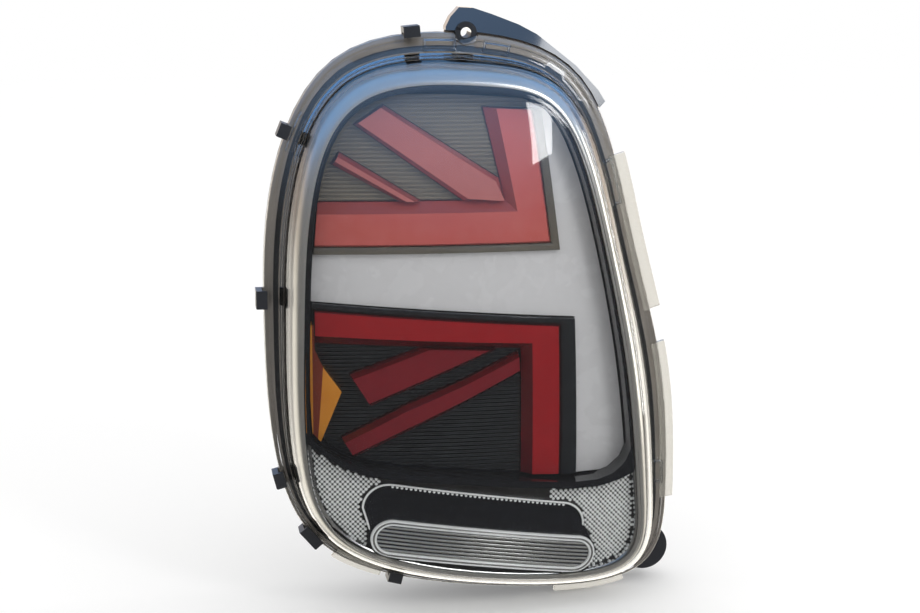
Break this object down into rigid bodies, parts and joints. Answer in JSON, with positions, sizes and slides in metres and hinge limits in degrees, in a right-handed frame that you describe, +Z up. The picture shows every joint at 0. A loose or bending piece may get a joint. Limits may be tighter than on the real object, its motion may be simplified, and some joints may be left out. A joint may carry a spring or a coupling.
{
  "type": "tail light cluster",
  "caption": "Upright rear lamp for a small car: clear domed cover over red bars laid out as half a crossed flag, pale cross, amber indicator block and a ribbed pill-shaped reversing lens.",
  "frame": {"origin": "centre of the circle of the three mounting studs, on the plane of the back that meets the car body", "axes": "+Z up as on the car, +X to the right seen from behind the car, the clear cover faces -Y and the studs point +Y"},
  "size_m": [0.2148, 0.1118, 0.3019],
  "materials": {
    "rear_housing": "black moulded plastic, fine grain",
    "body_gasket": "closed-cell foam",
    "mounting_studs": "zinc plated",
    "vent_cap": "moulded",
    "sealing_bead": "hot-melt glue",
    "outer_lens": "clear moulded plastic",
    "surround_ring": "satin metallised",
    "inner_bezel": "gloss black",
    "optic_panel": "metallised, textured with small studs",
    "lamp_carrier": "moulded",
    "carrier_screws": "plated",
    "white_cross": "milky diffuser",
    "upper_divider": "smoked",
    "lower_divider": "smoked black",
    "upper_corner_bar": "red light guide",
    "upper_wide_diagonal": "red light guide",
    "upper_narrow_diagonal": "red light guide",
    "lower_corner_bar": "dark red light guide",
    "lower_wide_diagonal": "dark red light guide",
    "lower_narrow_diagonal": "dark red light guide",
    "upper_ribbed_panel": "ribbed, smoked",
    "lower_ribbed_panel": "ribbed, black",
    "amber_lens": "amber",
    "upper_light_board": "white solder mask",
    "lower_light_board": "white solder mask",
    "indicator_board": "green solder mask",
    "tail_chips": "light chips",
    "indicator_chips": "light chips",
    "heat_sink": "plain",
    "light_driver": "circuit board with parts",
    "connector_socket": "moulded",
    "connector_pins": "tinned",
    "reversing_sleeve": "gloss black",
    "reversing_lens": "clear, ribbed",
    "reversing_reflector": "metallised",
    "reversing_bulb": "clear",
    "bulb_holder": "moulded",
    "holder_seal": "rubber"
  },
  "bodies": {
    "root": {"rear_housing": "rear_housing", "body_gasket": "body_gasket", "mounting_studs": "mounting_studs", "vent_cap": "vent_cap", "sealing_bead": "sealing_bead", "outer_lens": "outer_lens", "surround_ring": "surround_ring", "inner_bezel": "inner_bezel", "optic_panel": "optic_panel", "lamp_carrier": "lamp_carrier", "carrier_screws": "carrier_screws", "white_cross": "white_cross", "upper_divider": "upper_divider", "lower_divider": "lower_divider", "upper_corner_bar": "upper_corner_bar", "upper_wide_diagonal": "upper_wide_diagonal", "upper_narrow_diagonal": "upper_narrow_diagonal", "lower_corner_bar": "lower_corner_bar", "lower_wide_diagonal": "lower_wide_diagonal", "lower_narrow_diagonal": "lower_narrow_diagonal", "upper_ribbed_panel": "upper_ribbed_panel", "lower_ribbed_panel": "lower_ribbed_panel", "amber_lens": "amber_lens", "upper_light_board": "upper_light_board", "lower_light_board": "lower_light_board", "indicator_board": "indicator_board", "tail_chips": "tail_chips", "indicator_chips": "indicator_chips", "heat_sink": "heat_sink", "light_driver": "light_driver", "connector_socket": "connector_socket", "connector_pins": "connector_pins", "reversing_sleeve": "reversing_sleeve", "reversing_lens": "reversing_lens", "reversing_reflector": "reversing_reflector", "reversing_bulb": "reversing_bulb", "bulb_holder": "bulb_holder", "holder_seal": "holder_seal"}
  },
  "joints": []
}
